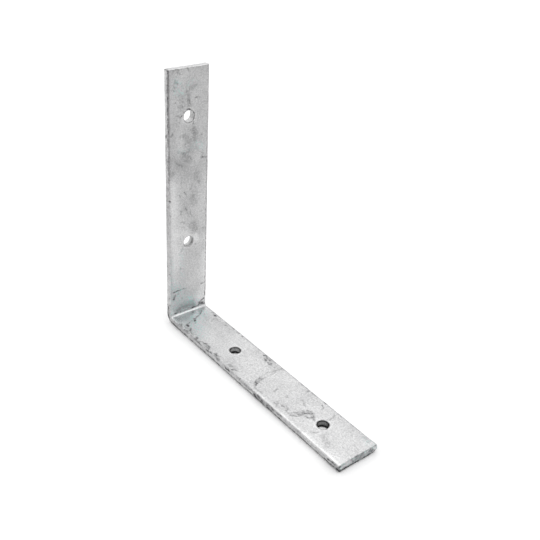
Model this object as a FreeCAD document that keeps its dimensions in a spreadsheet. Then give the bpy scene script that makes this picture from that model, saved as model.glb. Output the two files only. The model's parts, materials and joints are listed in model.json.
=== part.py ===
import FreeCAD, Part
import math
import os

import Sketcher
from FreeCAD import Vector

# Angle iron bracket. One length of flat steel bar is cut off, punched with four screw holes,
# bent square and galvanised, so it is one solid: a foot, a bend and an upright.
#
# It stands on its foot with the upright at the -X end. The origin is the centre of the foot's
# underside. +X runs along the foot away from the bend, +Z up the upright, and Y across the bar.

# Each driving dimension in millimetres, with what it measures.
SIZES = [
    ("foot_length", 150.0, "back of the upright to the end of the foot"),
    ("upright_length", 150.0, "underside of the foot to the top of the upright"),
    ("bar_width", 25.0, "width of the flat bar"),
    ("bar_thickness", 4.0, "thickness of the flat bar"),
    ("inner_bend_radius", 1.5, "radius on the inside of the bend"),
    ("rolled_edge_radius", 0.8, "rounding that rolling leaves on the bar's long edges"),
    ("cut_edge_radius", 0.4, "rounding of the edges round the two cut ends"),
    ("hole_diameter", 6.5, "diameter of the four screw holes"),
    ("hole_rim_radius", 0.3, "rounding of both rims of each hole"),
    ("corner_to_hole", 51.5, "outer corner to the centre of the nearer hole of a leg"),
    ("end_to_hole", 25.0, "end of a leg to the centre of its farther hole"),
]
HOLES_PER_LEG = 2
NODE = "angle_bracket"

# Two places closer than this are the same place.
TOUCH = 1e-4

QUARTER_TURN = math.pi / 2


def make_sheet(document):
    """Put each size on its own row: its name, its value under that alias, and its meaning."""
    sheet = document.addObject("Spreadsheet::Sheet", "Sizes")
    for row, (name, value, meaning) in enumerate(SIZES, start=1):
        sheet.set(f"A{row}", name)
        sheet.set(f"B{row}", str(value))
        sheet.set(f"C{row}", meaning)
        sheet.setAlias(f"B{row}", name)
    document.recompute()
    return sheet


def new_sketch(body, name, plane, distance=None):
    """Start a sketch on one of the body's origin planes, moved out along its normal."""
    sketch = body.newObject("Sketcher::SketchObject", name)
    origin_plane = next(item for item in body.Origin.OriginFeatures if item.Role == plane)
    sketch.AttachmentSupport = [(origin_plane, "")]
    sketch.MapMode = "FlatFace"
    if distance:
        sketch.setExpression("AttachmentOffset.Base.z", distance)
    return sketch


def dimension(sketch, kind, place, value, expression):
    """Give a sketch one dimension, drawn at its value and bound to an expression."""
    index = sketch.addConstraint(Sketcher.Constraint(kind, *place, value))
    sketch.setExpression(f"Constraints[{index}]", expression)


def arc(centre, radius, start):
    """Return a quarter circle that begins at an angle and turns anticlockwise."""
    circle = Part.Circle(centre, Vector(0, 0, 1), radius)
    return Part.ArcOfCircle(circle, start, start + QUARTER_TURN)


def draw_section(sketch, sheet):
    """Draw the bar's section: a rectangle on the ground line, with its four corners rounded.

    The sides run anticlockwise from the underside, and corner i joins side i to the next one.
    """
    half = sheet.bar_width / 2
    top = sheet.bar_thickness
    rounding = sheet.rolled_edge_radius
    sides = [
        ((rounding - half, 0), (half - rounding, 0)),
        ((half, rounding), (half, top - rounding)),
        ((half - rounding, top), (rounding - half, top)),
        ((-half, top - rounding), (-half, rounding)),
    ]
    centres = [
        (half - rounding, rounding),
        (half - rounding, top - rounding),
        (rounding - half, top - rounding),
        (rounding - half, rounding),
    ]
    for start, end in sides:
        sketch.addGeometry(Part.LineSegment(Vector(*start, 0), Vector(*end, 0)))
    for number, centre in enumerate(centres):
        sketch.addGeometry(arc(Vector(*centre, 0), rounding, (number - 1) * QUARTER_TURN))

    underside, right, upper, left = range(4)
    corners = range(4, 8)
    for side, corner in enumerate(corners):
        sketch.addConstraint(Sketcher.Constraint("Tangent", side, 2, corner, 1))
        sketch.addConstraint(Sketcher.Constraint("Tangent", corner, 2, (side + 1) % 4, 1))
    for corner in corners[1:]:
        sketch.addConstraint(Sketcher.Constraint("Equal", corners[0], corner))
    sketch.addConstraint(Sketcher.Constraint("Horizontal", upper))
    sketch.addConstraint(Sketcher.Constraint("Vertical", left))
    sketch.addConstraint(Sketcher.Constraint("Vertical", right))
    sketch.addConstraint(Sketcher.Constraint("PointOnObject", underside, 1, -1))
    sketch.addConstraint(Sketcher.Constraint("Symmetric", underside, 1, underside, 2, -2))
    dimension(sketch, "Radius", (corners[0],), rounding, "Sizes.rolled_edge_radius")
    dimension(sketch, "DistanceX", (left, 1, right, 1), 2 * half, "Sizes.bar_width")
    dimension(sketch, "DistanceY", (underside, 1, upper, 2), top, "Sizes.bar_thickness")


def draw_path(sketch, sheet):
    """Draw the line through the middle of the bar: along the foot, round the bend and up."""
    middle = sheet.bar_thickness / 2
    radius = sheet.inner_bend_radius + middle
    back = middle - sheet.foot_length / 2
    foot_end = sheet.foot_length / 2
    sketch.addGeometry(
        Part.LineSegment(Vector(foot_end, middle, 0), Vector(back + radius, middle, 0))
    )
    sketch.addGeometry(arc(Vector(back + radius, middle + radius, 0), radius, math.pi))
    sketch.addGeometry(
        Part.LineSegment(Vector(back, middle + radius, 0), Vector(back, sheet.upright_length, 0))
    )

    foot, bend, upright = range(3)
    sketch.addConstraint(Sketcher.Constraint("Horizontal", foot))
    sketch.addConstraint(Sketcher.Constraint("Vertical", upright))
    sketch.addConstraint(Sketcher.Constraint("Tangent", foot, 2, bend, 2))
    sketch.addConstraint(Sketcher.Constraint("Tangent", bend, 1, upright, 1))
    dimension(
        sketch, "Radius", (bend,), radius, "Sizes.inner_bend_radius + Sizes.bar_thickness / 2"
    )
    dimension(sketch, "DistanceX", (-1, 1, foot, 1), foot_end, "Sizes.foot_length / 2")
    dimension(sketch, "DistanceY", (-1, 1, foot, 1), middle, "Sizes.bar_thickness / 2")
    dimension(
        sketch,
        "DistanceX",
        (upright, 1, foot, 1),
        foot_end - back,
        "Sizes.foot_length - Sizes.bar_thickness / 2",
    )
    dimension(
        sketch, "DistanceY", (-1, 1, upright, 2), sheet.upright_length, "Sizes.upright_length"
    )


def punch_leg(body, leg, plane, sketch_distance, axis, first_hole, spacing, sheet):
    """Punch a leg's first hole through the bar and repeat it along the leg.

    The sketch lies on the leg's outer face, and the punch goes from there through the bar.
    first_hole is the circle's centre along the sketch's axis, as a value and an expression.
    """
    place, place_expression = first_hole
    sketch = new_sketch(body, f"{leg}_hole_sketch", plane, sketch_distance)
    along_x = axis == "H_Axis"
    centre = Vector(place, 0, 0) if along_x else Vector(0, place, 0)
    sketch.addGeometry(Part.Circle(centre, Vector(0, 0, 1), sheet.hole_diameter / 2))
    sketch.addConstraint(Sketcher.Constraint("PointOnObject", 0, 3, -1 if along_x else -2))
    dimension(sketch, "Diameter", (0,), sheet.hole_diameter, "Sizes.hole_diameter")
    dimension(
        sketch,
        "DistanceX" if along_x else "DistanceY",
        (-1, 1, 0, 3),
        place,
        place_expression,
    )

    hole = body.newObject("PartDesign::Pocket", f"{leg}_hole")
    hole.Profile = sketch
    hole.Type = "ThroughAll"
    hole.Reversed = True

    row = body.newObject("PartDesign::LinearPattern", f"{leg}_holes")
    row.Originals = [hole]
    row.Direction = (sketch, [axis])
    row.Occurrences = HOLES_PER_LEG
    row.setExpression("Length", spacing)
    body.Tip = row
    body.Document.recompute()
    return row


def round_edges(body, name, base, chosen, radius):
    """Round the edges of a feature that the test picks out."""
    edges = [
        f"Edge{number}" for number, edge in enumerate(base.Shape.Edges, start=1) if chosen(edge)
    ]
    rounding = body.newObject("PartDesign::Fillet", name)
    rounding.Base = (base, edges)
    rounding.setExpression("Radius", radius)
    body.Document.recompute()
    return rounding


def make_bracket(document, sheet):
    """Sweep the bar's section round the bend, ease its ends, then punch and ease its holes."""
    body = document.addObject("PartDesign::Body", NODE)
    body.Label = NODE
    path = new_sketch(body, "bar_path", "XZ_Plane")
    draw_path(path, sheet)
    section = new_sketch(body, "bar_section", "YZ_Plane", "Sizes.foot_length / 2")
    draw_section(section, sheet)

    bar = body.newObject("PartDesign::AdditivePipe", "bent_bar")
    bar.Profile = section
    bar.Spine = (path, ["Edge1", "Edge2", "Edge3"])
    document.recompute()

    foot_end = sheet.foot_length / 2
    upright_top = sheet.upright_length

    def at_a_cut_end(edge):
        box = edge.BoundBox
        return box.XMin > foot_end - TOUCH or box.ZMin > upright_top - TOUCH

    eased_bar = round_edges(body, "eased_ends", bar, at_a_cut_end, "Sizes.cut_edge_radius")

    back = -sheet.foot_length / 2
    foot_holes = punch_leg(
        body,
        "foot",
        "XY_Plane",
        None,
        "H_Axis",
        (back + sheet.corner_to_hole, "Sizes.corner_to_hole - Sizes.foot_length / 2"),
        "Sizes.foot_length - Sizes.corner_to_hole - Sizes.end_to_hole",
        sheet,
    )
    all_holes = punch_leg(
        body,
        "upright",
        "YZ_Plane",
        "-Sizes.foot_length / 2",
        "V_Axis",
        (sheet.corner_to_hole, "Sizes.corner_to_hole"),
        "Sizes.upright_length - Sizes.corner_to_hole - Sizes.end_to_hole",
        sheet,
    )

    def is_a_hole_rim(edge):
        return edge.isClosed() and isinstance(edge.Curve, Part.Circle)

    round_edges(body, "eased_rims", all_holes, is_a_hole_rim, "Sizes.hole_rim_radius")
    check_holes(eased_bar, foot_holes, all_holes, sheet)
    return body


def check_holes(bar, foot_holes, all_holes, sheet):
    """Stop unless each leg lost the metal of its holes, straight through the bar."""
    one_hole = math.pi * (sheet.hole_diameter / 2) ** 2 * sheet.bar_thickness
    volumes = [feature.Shape.Volume for feature in (bar, foot_holes, all_holes)]
    for before, after in zip(volumes, volumes[1:]):
        if abs(before - after - HOLES_PER_LEG * one_hole) > 0.001 * one_hole:
            raise RuntimeError("a leg's holes do not go through the bar")


def check_model(document, body):
    """Stop if a feature failed, a sketch is loose or the solid is not sound."""
    for item in document.Objects:
        if "Invalid" in item.State or "Error" in item.State:
            raise RuntimeError(f"{item.Name} failed")
        if item.TypeId == "Sketcher::SketchObject" and not item.FullyConstrained:
            raise RuntimeError(f"{item.Name} is not fully constrained")
    if body.Shape.isNull() or not body.Shape.isValid() or len(body.Shape.Solids) != 1:
        raise RuntimeError(f"{body.Label} is not one sound solid")


os.makedirs("parts", exist_ok=True)
document = FreeCAD.newDocument("AngleBracket")
bracket = make_bracket(document, make_sheet(document))
document.recompute()
check_model(document, bracket)
bracket.Shape.exportStep(f"parts/{bracket.Label}.step")
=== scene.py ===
import json
import math

import bmesh
import bpy
import numpy as np
from mathutils import Matrix, Vector


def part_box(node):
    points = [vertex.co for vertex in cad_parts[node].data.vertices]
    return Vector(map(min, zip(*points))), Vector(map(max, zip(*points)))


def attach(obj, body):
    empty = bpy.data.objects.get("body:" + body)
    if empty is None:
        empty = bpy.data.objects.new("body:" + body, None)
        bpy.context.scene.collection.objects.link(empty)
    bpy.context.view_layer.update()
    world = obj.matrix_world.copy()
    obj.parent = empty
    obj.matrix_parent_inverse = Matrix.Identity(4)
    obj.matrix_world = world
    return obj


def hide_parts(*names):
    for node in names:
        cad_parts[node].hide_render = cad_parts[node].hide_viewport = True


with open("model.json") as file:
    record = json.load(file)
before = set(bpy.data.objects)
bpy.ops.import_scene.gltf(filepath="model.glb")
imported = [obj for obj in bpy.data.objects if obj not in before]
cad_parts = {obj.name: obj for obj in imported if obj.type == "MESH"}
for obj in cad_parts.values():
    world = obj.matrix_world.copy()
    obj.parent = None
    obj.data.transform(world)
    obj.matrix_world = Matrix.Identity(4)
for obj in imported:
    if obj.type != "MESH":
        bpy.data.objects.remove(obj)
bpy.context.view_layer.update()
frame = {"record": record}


# The bracket
# One length of 25 x 4 mm flat steel bar with rolled edges, sheared off at both ends, punched with
# four holes, bent square and dipped in molten zinc. Its form and the zinc's marks are worked out
# flat, from the foot's end to the top of the upright, and then this blank is bent.

MM = 0.001
BAR_THICKNESS = 4.0 * MM
INNER_BEND_RADIUS = 1.5 * MM
ROLLED_EDGE_RADIUS = 0.8 * MM
CUT_EDGE_RADIUS = 0.4 * MM
HOLE_RIM_RADIUS = 0.3 * MM
QUARTER_TURN = math.pi / 2

# How finely the mesh is divided: along and across the faces, along the bend, round each rounded
# edge, and across the narrow sides and the cut faces.
GRID_STEP = 0.45 * MM
BEND_STEP = 0.3 * MM
ARC_STEPS = 4
SIDE_STEPS = 4
CUT_FACE_STEPS = 5

# A hole lies in the middle of a square of bar. These are the steps along the square's side, from
# the square in to the rim, and down half the wall.
WINDOW_STEPS = 24
RING_STEPS = 7
HALF_WALL_STEPS = 3
HOLE_WINDOW = WINDOW_STEPS * GRID_STEP

low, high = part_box("angle_bracket")
half_width = (high.y - low.y) / 2
half_thickness = BAR_THICKNESS / 2
half_window = HOLE_WINDOW / 2
mid_radius = INNER_BEND_RADIUS + half_thickness
outer_radius = INNER_BEND_RADIUS + BAR_THICKNESS
foot_run = high.x - low.x - outer_radius
bend_run = mid_radius * QUARTER_TURN
upright_run = high.z - low.z - outer_radius
bar_length = foot_run + bend_run + upright_run

# The bracket's outer corner on the blank, as the straight foot and the straight upright reach it.
foot_corner = foot_run + outer_radius
upright_corner = foot_run + bend_run - outer_radius

bores = [mount for mount in frame["record"]["mounts"] if mount["kind"] == "bore"]
hole_radius = bores[0]["dims"]["r_mm"] * MM

# How far along the blank each hole lies, from the foot's end.
hole_places = sorted(
    high.x - bore["pos_m"][0]
    if abs(bore["axis"][2]) > 0.5
    else upright_corner + bore["pos_m"][2]
    for bore in bores
)


def stations(marks, step):
    """Return the marks with evenly spaced places between each two, about a step apart."""
    runs = [
        np.linspace(start, end, max(1, round((end - start) / step)), endpoint=False)
        for start, end in zip(marks, marks[1:])
    ]
    return np.concatenate([*runs, marks[-1:]])


def section_loop():
    """Return the section's outline and its outward direction, as rows of (across, depth).

    The outline runs anticlockwise: outer face, side, inner face, side. A rounded corner is a
    quarter circle about a centre that stands in from both faces by the rolled edge's radius.
    """
    inset = half_width - ROLLED_EDGE_RADIUS
    rise = half_thickness - ROLLED_EDGE_RADIUS
    face = stations([-inset, -half_window, half_window, inset], GRID_STEP)
    side = np.linspace(-rise, rise, SIDE_STEPS + 1)
    turn = np.linspace(0, QUARTER_TURN, ARC_STEPS + 1)[1:-1]
    points, outward = [], []
    for quarter in range(4):
        facing = (quarter - 1) * QUARTER_TURN
        normal = np.array([math.cos(facing), math.sin(facing)])
        forward = np.array([-normal[1], normal[0]])
        places, reach = (face, half_thickness) if quarter % 2 == 0 else (side, half_width)
        points.append(normal * reach + forward * places[:, None])
        outward.append(np.tile(normal, (len(places), 1)))
        centre = forward * places[-1] + normal * (reach - ROLLED_EDGE_RADIUS)
        swing = np.stack([np.cos(facing + turn), np.sin(facing + turn)], axis=-1)
        points.append(centre + ROLLED_EDGE_RADIUS * swing)
        outward.append(swing)
    return np.concatenate(points), np.concatenate(outward)


def bar_grid():
    """Return the bar without its holes as a grid of points, with each point's outward direction.

    Rows run along the bar and columns round its section. Each row is the section, drawn in
    towards its middle line by a share: none along the bar, more round the eased edge of a cut
    end, and all of it at the middle of the cut face, which closes the end.
    """
    loop, outward = section_loop()
    spine = np.zeros_like(loop)
    spine[:, 0] = np.clip(loop[:, 0], half_thickness - half_width, half_width - half_thickness)

    edges = [place + side * half_window for place in hole_places for side in (-1, 1)]
    foot_marks = [CUT_EDGE_RADIUS, *edges[:4], foot_run]
    upright_marks = [foot_run + bend_run, *edges[4:], bar_length - CUT_EDGE_RADIUS]
    straight = np.concatenate(
        [
            stations(foot_marks, GRID_STEP)[:-1],
            stations([foot_run, foot_run + bend_run], BEND_STEP)[:-1],
            stations(upright_marks, GRID_STEP),
        ]
    )
    eased = CUT_EDGE_RADIUS / half_thickness
    turn = np.linspace(0, QUARTER_TURN, ARC_STEPS + 1)[:-1]
    cut_face = np.linspace(1, eased, CUT_FACE_STEPS + 1)[:-1]
    end_along = np.concatenate([np.zeros_like(cut_face), CUT_EDGE_RADIUS * (1 - np.cos(turn))])
    end_share = np.concatenate([cut_face, eased * (1 - np.sin(turn))])
    end_turn = np.concatenate([np.zeros_like(cut_face), turn])

    along = np.concatenate([end_along, straight, bar_length - end_along[::-1]])
    share = np.concatenate([end_share, np.zeros_like(straight), end_share[::-1]])
    lean = np.concatenate([np.cos(end_turn), np.zeros_like(straight), -np.cos(end_turn[::-1])])
    section = spine + (1 - share)[:, None, None] * (loop - spine)
    points = np.concatenate(
        [np.broadcast_to(along[:, None, None], (*section.shape[:2], 1)), section], axis=-1
    )
    flat = np.sqrt(1 - lean**2)[:, None, None] * outward
    facing = np.concatenate(
        [np.broadcast_to(-lean[:, None, None], (*flat.shape[:2], 1)), flat], axis=-1
    )
    return points, facing


def hole_grid(place):
    """Return one hole and the square of bar round it, as a grid of points and directions.

    Rows go from the inner face through the hole to the outer face, and columns go round it.
    On the faces a row lies between the square and the rim's circle. Then the radius shrinks
    round the rim's quarter circle, stays the same down the wall and grows again.
    """
    run = np.linspace(-1, 1, WINDOW_STEPS + 1)[:-1]
    edge = np.ones_like(run)
    square = np.stack(
        [np.concatenate([run, edge, -run, -edge]), np.concatenate([-edge, run, edge, -run])],
        axis=-1,
    )
    circle = square / np.linalg.norm(square, axis=-1, keepdims=True)

    rim = hole_radius + HOLE_RIM_RADIUS
    turn = np.linspace(0, QUARTER_TURN, ARC_STEPS + 1)
    blend = np.linspace(1, 0, RING_STEPS + 1)[:-1]
    wall = np.linspace(1, 0, HALF_WALL_STEPS + 1)[1:]
    radius = np.concatenate(
        [
            np.full_like(blend, rim),
            rim - HOLE_RIM_RADIUS * np.sin(turn),
            np.full_like(wall, hole_radius),
        ]
    )
    depth = np.concatenate(
        [
            np.full_like(blend, half_thickness),
            half_thickness - HOLE_RIM_RADIUS * (1 - np.cos(turn)),
            (half_thickness - HOLE_RIM_RADIUS) * wall,
        ]
    )
    tilt = np.concatenate([np.zeros_like(blend), turn, np.full_like(wall, QUARTER_TURN)])
    blend = np.concatenate([blend, np.zeros_like(turn), np.zeros_like(wall)])

    def mirrored(values, sign=1):
        return np.concatenate([values, sign * values[-2::-1]])[:, None, None]

    blend, radius, depth = mirrored(blend), mirrored(radius), mirrored(depth, -1)
    inward, upward = mirrored(np.sin(tilt)), mirrored(np.cos(tilt), -1)
    flat = blend * square * half_window + (1 - blend) * radius * circle
    level = np.zeros_like(flat[..., :1])
    points = np.concatenate([flat + [place, 0], level + depth], axis=-1)
    facing = np.concatenate([-inward * circle, level + upward], axis=-1)
    return points, facing


def quads(rows, columns, keep=None):
    """Return the four corners of each cell of a grid whose columns close into a ring."""
    index = np.arange(rows * columns).reshape(rows, columns)
    beside = np.roll(index, -1, axis=1)
    cells = np.stack([index[:-1], beside[:-1], beside[1:], index[1:]], axis=-1)
    return cells.reshape(-1, 4) if keep is None else cells[keep]


def solid_cells(points):
    """Return which cells of the bar's grid are metal, leaving out the squares of the holes."""
    corners = [points, np.roll(points, -1, axis=1)]
    middle = sum(c[:-1] + c[1:] for c in corners) / 4
    along, across, depth = np.moveaxis(middle, -1, 0)
    on_face = np.abs(depth) > half_thickness - ROLLED_EDGE_RADIUS / 2
    near = np.min([np.abs(along - place) for place in hole_places], axis=0)
    inside = (near < half_window) & (np.abs(across) < half_window)
    return ~(on_face & inside)


def bent(points):
    """Bend the flat blank square: along the foot from its end, round the bend and straight up.

    In the bend a point lies on a circle about the bend's centre, at the middle radius less its
    depth, turned by its distance into the bend divided by the middle radius.
    """
    along, across, depth = np.moveaxis(points, -1, 0)
    turn = np.clip((along - foot_run) / mid_radius, 0, QUARTER_TURN)
    reach = mid_radius - depth
    before = np.minimum(along - foot_run, 0)
    beyond = np.maximum(along - foot_run - bend_run, 0)
    x = low.x + outer_radius - reach * np.sin(turn) - before
    z = low.z + outer_radius - reach * np.cos(turn) + beyond
    return np.stack([x, across, z], axis=-1)


grids = [bar_grid()] + [hole_grid(place) for place in hole_places]
faces, start = [], 0
for number, (points, facing) in enumerate(grids):
    rows, columns = points.shape[:2]
    keep = solid_cells(points) if number == 0 else None
    faces.append(start + quads(rows, columns, keep))
    start += rows * columns
blank = np.concatenate([points.reshape(-1, 3) for points, facing in grids])
outward = np.concatenate([facing.reshape(-1, 3) for points, facing in grids])
faces = np.concatenate(faces)
along, across, depth = blank.T


def bell(value, middle, width):
    """Return one where the value is at the middle, and less beside it, as a soft bell.

    It is e to the power of minus the square of the distance from the middle over the width.
    """
    return np.exp(-(((value - middle) / width) ** 2))


def share_between(value, start, end):
    """Return how far the value has come from the start to the end, held within 0 and 1."""
    return np.clip((value - start) / (end - start), 0, 1)


def ripple(places, shortest, longest, seed):
    """Return smooth unevenness about zero, with a spread of about one, at each place.

    It is the sum of plane cosine waves that run in random directions, with wavelengths spread
    evenly by ratio between the shortest and the longest, divided by its own spread.
    """
    draw = np.random.default_rng(seed)
    waves = 28
    direction = draw.normal(size=(waves, 3))
    direction /= np.linalg.norm(direction, axis=1, keepdims=True)
    length = np.exp(draw.uniform(math.log(shortest), math.log(longest), waves))
    phase = draw.uniform(0, 2 * math.pi, waves)
    height = np.cos(places @ (direction * 2 * math.pi / length[:, None]).T + phase)
    return height.sum(axis=1) * math.sqrt(2 / waves)


def near_path(places, path, width, power=2):
    """Return one on a path and less beside it, by the distance divided by the width.

    The distance is to the nearest point of the nearest run between two points of the path. Its
    share of the width is raised to the power: two gives a soft bell, and more a sharper edge.
    """
    path = np.asarray(path)
    nearest = np.full(len(places), np.inf)
    for start, end in zip(path, path[1:]):
        run = end - start
        share = np.clip((places - start) @ run / (run @ run), 0, 1)
        distance = np.linalg.norm(places - start - share[:, None] * run, axis=1)
        nearest = np.minimum(nearest, distance)
    return np.exp(-((nearest / width) ** power))


def on_upright(height, across):
    """Return the place on the blank of a height and a place across the upright's inner face."""
    return upright_corner + height * MM, across * MM, half_thickness


def on_foot(reach, across):
    """Return the place on the blank of a reach from the outer corner along the foot's top."""
    return foot_corner - reach * MM, across * MM, half_thickness


def on_upright_side(height, depth):
    """Return the place on the blank of a height and a depth from the back, on the near side."""
    return upright_corner + height * MM, -half_width, depth * MM - half_thickness


def on_foot_side(reach, height):
    """Return the place on the blank of a reach and a height on the foot's near side."""
    return foot_corner - reach * MM, -half_width, height * MM - half_thickness


def on_end(across, height):
    """Return the place on the blank of a place across and a height on the foot's cut end."""
    return 0.0, across * MM, height * MM - half_thickness


# Stains and dirt, face by face, and painted shade low along the foot's near side and cut end, where
# the bracket meets the floor: half the width in mm, the strength, and the path in mm, which the
# function above for that face turns into places on the blank.
upright_stains = [
    (0.6, 0.28, [(149.8, -7.5), (149, -6.4), (148, -6.6), (147.7, -5.6)]),
    (0.6, 0.2, [(148, -9.8), (149.7, -8.3)]),
    (0.45, 0.5, [(149.6, -1.6), (149.7, -1)]),
    (0.5, 0.25, [(148.7, -0.6), (148.2, 0.2)]),
    (0.4, 0.3, [(144, -7.7), (142.7, -6.6)]),
    (0.5, 0.2, [(145, -8.7), (141.2, -8.7)]),
    (0.4, 0.4, [(139.5, -9.3), (139.2, -9.1)]),
    (0.8, 0.16, [(141.3, 5.4), (140.4, 2.5), (139, -0.1), (138.7, -1.6)]),
    (0.4, 0.36, [(134.4, 4.2), (134.3, 4.4)]),
    (0.4, 0.16, [(134.1, 4.8), (134.2, 7.3)]),
    (0.5, 0.28, [(135.1, -0.2), (134.8, 0)]),
    (0.8, 0.28, [(133.4, -0.3), (132.6, 0.1)]),
    (0.4, 0.26, [(135.9, -8.2), (135.8, -8)]),
    (0.4, 0.3, [(131.3, -6.6), (131.1, -6.3)]),
    (0.4, 0.26, [(133.8, -4.4), (133.2, -3.9)]),
    (0.4, 0.26, [(130.9, -3.9), (130.5, -3.2)]),
    (0.4, 0.22, [(135.7, -4.1), (135.2, -3.6)]),
    (0.4, 0.22, [(137.2, -6.1), (136.6, -5.5)]),
    (0.4, 0.24, [(129.9, -5.4), (129.6, -5)]),
    (1.8, 0.1, [(136, -5), (131.5, -4)]),
    (1.6, 0.14, [(137, -0.4), (131, 0.2)]),
    (0.32, 0.8, [(129, -1.1), (129, -0.2), (128.7, 0.6)]),
    (0.4, 0.5, [(127.8, -3), (127.4, -3.2)]),
    (0.45, 0.25, [(125.9, -7.6), (125.6, -5.5)]),
    (0.45, 0.5, [(125.4, -5), (125.8, -4.2)]),
    (0.38, 0.36, [(126.6, 3.2), (125.4, 3.4), (123.6, 3.2), (122.4, 2.9), (120.7, 2.3)]),
    (0.4, 0.3, [(124.5, -8.3), (124.3, -8.1)]),
    (0.4, 0.3, [(133.2, -8.4), (133, -8.2)]),
    (0.4, 0.3, [(122.6, -6), (122.3, -6)]),
    (1.6, 0.2, [(117.6, 2.6), (116.2, 3.5), (115, 4)]),
    (1.0, 0.24, [(112.9, 3.4), (111.7, 3.8)]),
    (1.8, 0.14, [(113.6, -1.9), (111.6, 0)]),
    (1.0, 0.15, [(115, -5.3), (115.3, -2.6)]),
    (0.45, 0.5, [(113.7, 7.8), (113.6, 8.1)]),
    (0.5, 0.4, [(117, -10.3), (115.6, -10.9)]),
    (0.4, 0.3, [(114.5, -8.3), (114.3, -8.1)]),
    (0.5, 0.25, [(110.3, -2.3), (110.2, -2)]),
    (0.8, 0.15, [(106.9, -7.1), (105.9, -5), (104.8, -2.5), (105.3, -0.6), (106.5, 0.6)]),
    (1.7, 0.13, [(104, -3.6), (102.6, -1.6), (101, 0.4)]),
    (0.5, 0.1, [(103, 0.4), (101, 1.4)]),
    (0.5, 0.16, [(101, -2.6), (99.9, -0.6)]),
    (0.45, 0.55, [(103.4, -10.2), (103.1, -9.9)]),
    (0.8, 0.13, [(105, -11.6), (100, -11.9), (94, -11.5)]),
    (0.6, 0.2, [(96.6, -9.9), (94.4, -10.4)]),
    (0.5, 0.24, [(102, -8), (100, -7.4), (98.9, -6.2)]),
    (0.5, 0.22, [(99.2, -5.8), (98.6, -4.8), (97.8, -4)]),
    (0.45, 0.42, [(101.2, 7.9), (100.9, 8.7)]),
    (0.5, 0.2, [(100.7, 8.6), (100.2, 10.8)]),
    (0.4, 0.2, [(100.3, 11.3), (96.2, 11.4)]),
    (0.35, 0.18, [(104, 7), (102.6, 10)]),
    (1.7, 0.15, [(92.4, 5.2), (89.6, 4.8), (88, 5.6)]),
    (0.7, 0.06, [(87.6, 7.2), (86, 6)]),
    (0.4, 0.2, [(93.4, -5), (90, -4.4), (88, -5)]),
    (0.5, 0.22, [(87, 2.8), (84.7, 2), (83.5, 0.7)]),
    (0.4, 0.68, [(82.8, -3.2), (81, -2)]),
    (0.4, 0.25, [(82, 2.1), (81.8, 2.5)]),
    (0.45, 0.8, [(79.2, -12.6), (79, -12)]),
    (0.5, 0.35, [(71.2, -12.8), (70.1, -12)]),
    (0.4, 0.24, [(75.8, -3.5), (73.5, -2.6)]),
    (0.4, 0.3, [(73.4, -2.6), (71.4, -1.4)]),
    (0.4, 0.22, [(71.3, -1.5), (68.9, -0.5), (67.1, 0.4)]),
    (0.4, 0.26, [(71, 0.8), (68.4, 1.3), (66.3, 2.1)]),
    (0.6, 0.17, [(71.7, -5.4), (69.1, -4.8)]),
    (0.5, 0.22, [(64.9, -5.1), (64.3, -3.1)]),
    (0.5, 0.2, [(81.8, -6), (79.9, -5.7)]),
    (2.5, 0.22, [(61.2, 2.6), (60, 4), (58.6, 3.8)]),
    (2.2, 0.14, [(78.7, 2.1), (74.7, 3.4)]),
    (0.4, 0.3, [(57.7, 9.5), (57.6, 9.9)]),
    (0.45, 0.32, [(48.7, 4.3), (48.3, 4.8)]),
    (0.4, 0.16, [(49, -3.8), (44.4, -5.8)]),
    (0.45, 0.45, [(35.2, -5.6), (34.6, -4.8)]),
    (0.45, 0.6, [(20.2, 8.8), (20.7, 10.6)]),
    (0.38, 0.95, [(20.5, -10.2), (20.9, -8), (20.8, -6)]),
    (0.35, 0.6, [(20.8, -6), (20.7, -3.2)]),
    (0.35, 0.25, [(21, -3.2), (20.4, -0.4)]),
    (0.55, 0.6, [(18, -9.4), (16.8, -10), (15.8, -10.1)]),
    (0.5, 0.3, [(15.2, -4.6), (14.8, -4.2)]),
    (0.5, 0.25, [(18.6, -7.3), (18.2, -7)]),
    (0.6, 0.3, [(10.8, -5.6), (10.4, -4.8)]),
    (0.4, 0.15, [(19.7, -2.5), (17.8, -2.8)]),
    (0.5, 0.35, [(18, 12.1), (8, 12.1)]),
    (0.4, 0.2, [(149, 11.8), (95, 11.8)]),
    (0.4, 0.3, [(95, 11.8), (50, 11.8)]),
    (0.4, 0.42, [(50, 11.8), (10, 11.8)]),
    (1.0, 0.34, [(5.4, -9), (5.2, -4), (5.2, 0), (5, 3)]),
    (0.8, 0.28, [(5, 3), (5.2, 7.5)]),
    (1.5, 0.26, [(7.4, -7), (7.8, -4), (7.4, 1.1), (6.6, 4)]),
    (0.6, 0.25, [(5.4, -12), (5.4, -9)]),
    (1.3, 0.14, [(8.4, -10.6), (6.6, -8.6)]),
    (0.85, 0.56, [(7.3, 7.6), (6.6, 9), (5.6, 11.4)]),
    (0.6, 0.3, [(6, 6.6), (5.6, 9), (5.2, 10.6)]),
    (0.4, 0.85, [(7.9, 8.6), (9, 10.6)]),
    (0.42, 0.3, [(5.2, 4.8), (5.2, 6)]),
    (0.42, 1.0, [(5.15, 2.4), (5.1, 3.4)]),
]

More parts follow.
